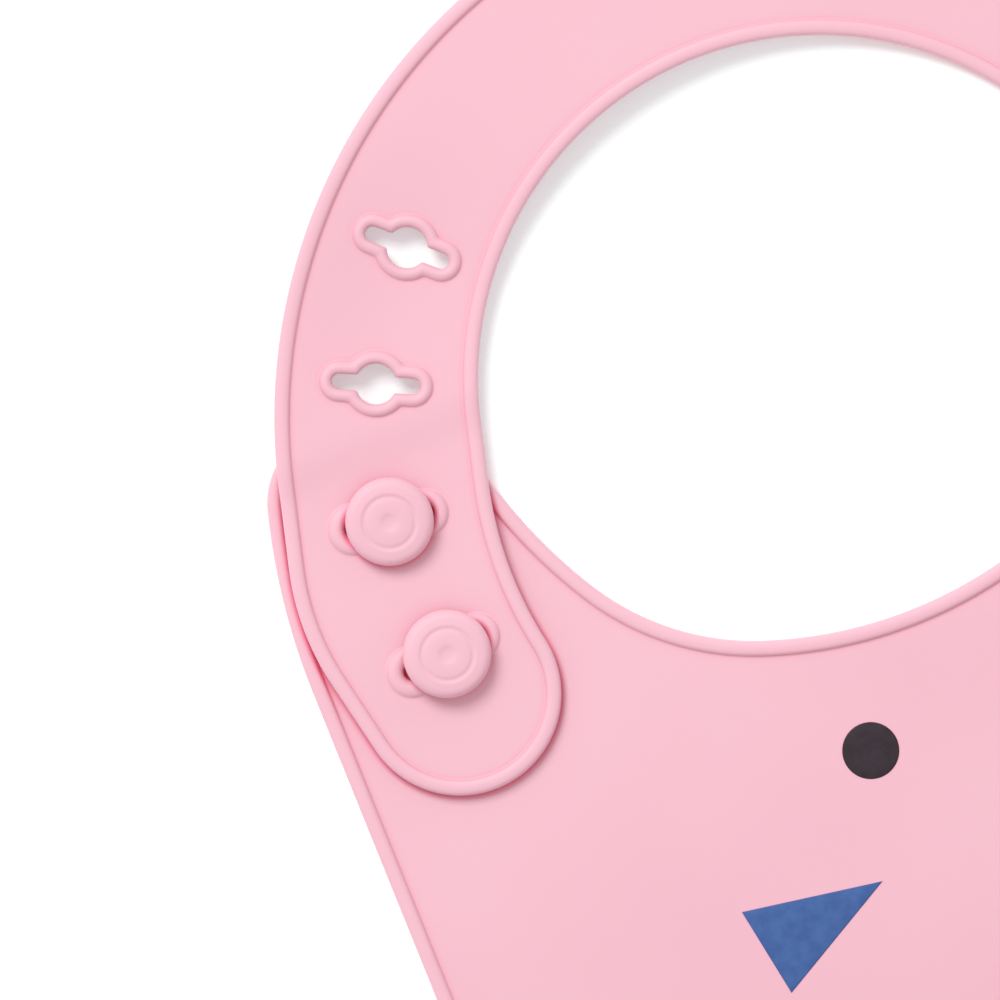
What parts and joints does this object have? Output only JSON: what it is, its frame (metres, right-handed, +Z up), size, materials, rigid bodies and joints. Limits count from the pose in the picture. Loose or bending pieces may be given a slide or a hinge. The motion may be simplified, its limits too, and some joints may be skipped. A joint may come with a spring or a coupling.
{
  "type": "silicone bib",
  "caption": "Soft one-colour silicone baby bib with a catch pocket and a neck strap whose keyholes button over mushroom studs at the shoulder.",
  "frame": {"origin": "middle of the whole bib's underside, lying flat on its back with the strap buttoned", "axes": "+Z up out of the front of the sheet, +Y from the pocket towards the neck, +X to the right seen from the front"},
  "size_m": [0.196, 0.2975, 0.0367],
  "materials": {
    "silicone": "soft matte, powdery",
    "print_black": "flat printed ink",
    "print_blue": "flat printed ink"
  },
  "bodies": {
    "chest": {"chest_panel": "silicone", "print_dot_3": "print_black", "print_dot_4": "print_blue", "print_dot_5": "print_black", "print_triangle_1": "print_blue", "print_triangle_2": "print_blue", "print_triangle_3": "print_black", "print_triangle_4": "print_blue"},
    "yoke": {"neck_panel": "silicone", "button_tab": "silicone", "button_upper": "silicone", "button_lower": "silicone", "print_dot_1": "print_black", "print_dot_2": "print_blue"},
    "belly": {"belly_panel": "silicone"},
    "pocket_wall": {"pocket": "silicone"},
    "strap_1": {"strap_shoulder": "silicone"},
    "strap_2": {"strap_back": "silicone"},
    "strap_3": {"strap_side": "silicone"},
    "strap_4": {"strap_tail": "silicone"}
  },
  "joints": [
    {"name": "yoke_bend", "type": "hinge", "parent": "chest", "child": "yoke", "pos_m": [0, -0.00675, 0.0022], "axis": [1, 0, 0], "range_deg": [0, 25], "stiffness_Nm_per_rad": 0.02},
    {"name": "belly_fold", "type": "hinge", "parent": "chest", "child": "belly", "pos_m": [0, -0.05875, 0.0022], "axis": [-1, 0, 0], "range_deg": [0, 80], "stiffness_Nm_per_rad": 0.01},
    {"name": "pocket_open", "type": "hinge", "parent": "belly", "child": "pocket_wall", "pos_m": [0, -0.14575, 0.0014], "axis": [1, 0, 0], "range_deg": [0, 12], "stiffness_Nm_per_rad": 0.1},
    {"name": "strap_shoulder_bend", "type": "hinge", "parent": "yoke", "child": "strap_1", "pos_m": [0.06582, 0.09325, 0.0022], "axis": [0.866, 0.5, 0], "range_deg": [0, 45], "stiffness_Nm_per_rad": 0.002},
    {"name": "strap_nape_bend", "type": "hinge", "parent": "strap_1", "child": "strap_2", "pos_m": [0.02599, 0.12667, 0.0022], "axis": [0.342, 0.9397, 0], "range_deg": [0, 45], "stiffness_Nm_per_rad": 0.002},
    {"name": "strap_side_bend", "type": "hinge", "parent": "strap_2", "child": "strap_3", "pos_m": [-0.03332, 0.12356, 0.005], "axis": [-0.4384, 0.8988, 0], "range_deg": [0, 45], "stiffness_Nm_per_rad": 0.002},
    {"name": "strap_peel", "type": "hinge", "parent": "strap_3", "child": "strap_4", "pos_m": [-0.07142, 0.08124, 0.005], "axis": [-0.9397, 0.342, 0], "range_deg": [0, 70], "stiffness_Nm_per_rad": 0.002, "deforming": ["button_upper", "button_lower"]}
  ]
}
